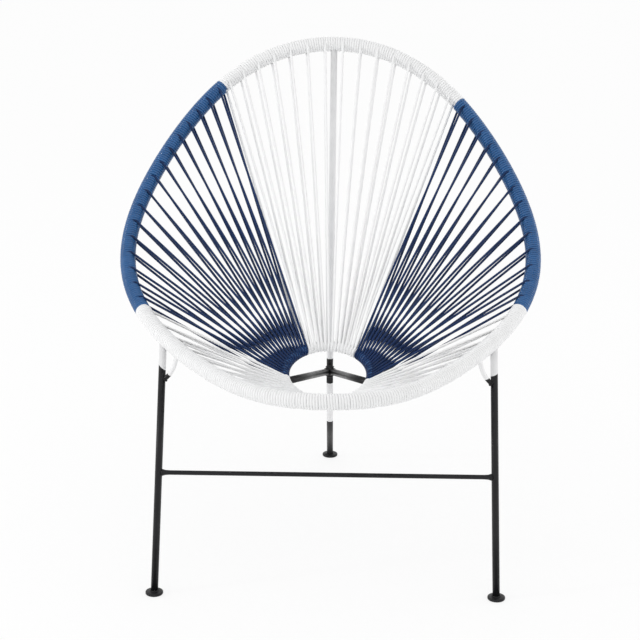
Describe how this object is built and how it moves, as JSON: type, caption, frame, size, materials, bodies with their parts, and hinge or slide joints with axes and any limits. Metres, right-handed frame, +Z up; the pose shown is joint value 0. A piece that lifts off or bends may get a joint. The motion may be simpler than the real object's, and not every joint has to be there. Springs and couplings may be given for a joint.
{
  "type": "acapulco chair",
  "caption": "Egg-shaped lounge seat strung with blue and white plastic cord between a wound rim and a hub ring, on a slim black steel frame.",
  "frame": {"origin": "on the floor, under the middle of the bounding box", "axes": "+Z up, -Y to the front of the seat, +X to the right as seen from the front"},
  "size_m": [0.7598, 0.7456, 0.8781],
  "materials": {
    "steel": "satin",
    "blue_cord": "gloss",
    "white_cord": "gloss"
  },
  "bodies": {
    "root": {"rim_tube": "steel", "hub_ring": "steel", "spine": "steel", "rear_leg": "steel", "arm_left": "steel", "front_leg_left": "steel", "leg_brace_left": "steel", "arm_right": "steel", "front_leg_right": "steel", "leg_brace_right": "steel", "stretcher": "steel", "gusset_left": "steel", "gusset_right": "steel", "foot_left": "steel", "foot_right": "steel", "foot_rear": "steel", "cords_right_1": "blue_cord", "cords_right_2": "blue_cord", "cords_right_3": "blue_cord", "cords_right_4": "blue_cord", "cords_left_1": "blue_cord", "cords_left_2": "blue_cord", "cords_left_3": "blue_cord", "cords_left_4": "blue_cord", "hub_winding_right": "blue_cord", "hub_winding_left": "blue_cord", "cords_back_1": "white_cord", "cords_back_2": "white_cord", "cords_back_3": "white_cord", "cords_back_4": "white_cord", "cords_front_1": "white_cord", "cords_front_2": "white_cord", "cords_front_3": "white_cord", "cords_front_4": "white_cord", "cords_front_5": "white_cord", "cords_front_6": "white_cord", "hub_winding_back": "white_cord", "hub_winding_front": "white_cord"}
  },
  "joints": []
}
